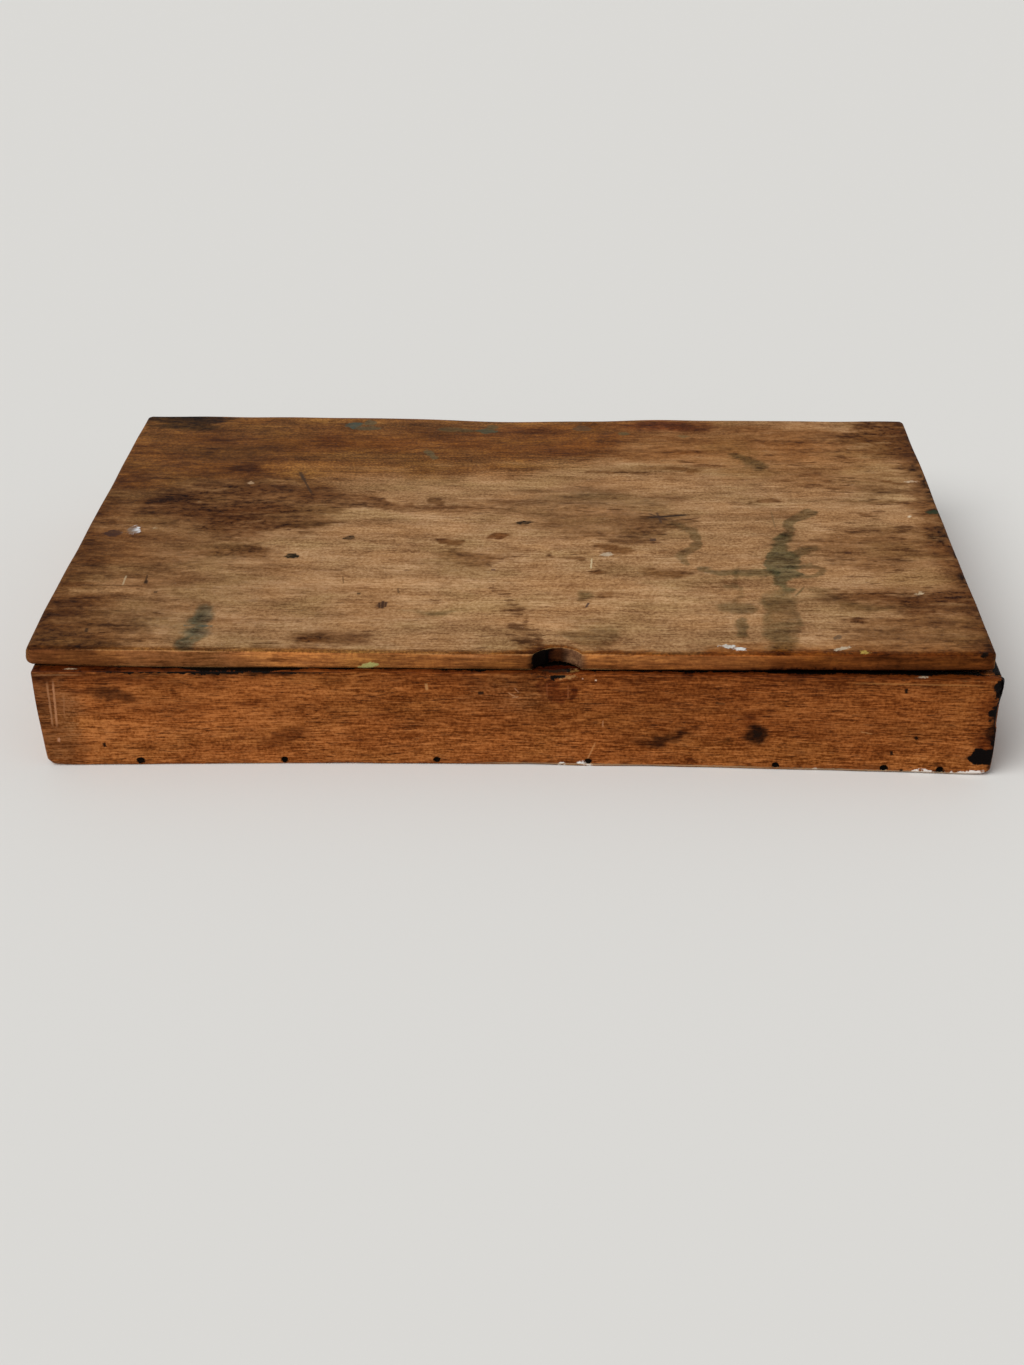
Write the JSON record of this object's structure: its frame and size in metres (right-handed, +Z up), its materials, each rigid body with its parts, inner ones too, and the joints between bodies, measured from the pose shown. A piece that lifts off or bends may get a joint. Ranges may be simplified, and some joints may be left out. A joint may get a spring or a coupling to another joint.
{
  "type": "art box",
  "caption": "Shallow wooden art box: a nailed case with a brush tray and paint bays, and a worn board lid with a thumb notch that swings up on butt hinges at the back.",
  "frame": {"origin": "middle of the case's footprint, on the surface that the box stands on", "axes": "+X to the right along the front, +Y from the front to the hinged back, +Z up"},
  "size_m": [0.409, 0.2663, 0.0561],
  "materials": {
    "varnished_wood": "old orange-brown varnish, worn and stained",
    "lid_wood": "varnish worn to bare grey-brown wood, with paint smudges",
    "inner_wood": "bare",
    "hinge_brass": "dull and aged",
    "nail_iron": "black and rusted"
  },
  "bodies": {
    "case": {"front_board": "varnished_wood", "back_board": "varnished_wood", "left_end_board": "varnished_wood", "right_end_board": "varnished_wood", "bottom_board": "inner_wood", "long_divider": "inner_wood", "left_cross_divider": "inner_wood", "middle_cross_divider": "inner_wood", "right_cross_divider": "inner_wood", "corner_nails": "nail_iron", "bottom_nails": "nail_iron", "left_hinge_case_leaf": "hinge_brass", "right_hinge_case_leaf": "hinge_brass", "left_hinge_pin": "hinge_brass", "right_hinge_pin": "hinge_brass", "hinge_case_screws": "hinge_brass"},
    "lid": {"lid_board": "lid_wood", "left_lid_cleat": "inner_wood", "right_lid_cleat": "inner_wood", "cleat_screws": "hinge_brass", "left_hinge_lid_leaf": "hinge_brass", "right_hinge_lid_leaf": "hinge_brass", "hinge_lid_screws": "hinge_brass"}
  },
  "joints": [
    {"name": "lid_hinge", "type": "hinge", "parent": "case", "child": "lid", "pos_m": [0, 0.13335, 0.0478], "axis": [-1, 0, 0], "range_deg": [0, 188]}
  ]
}
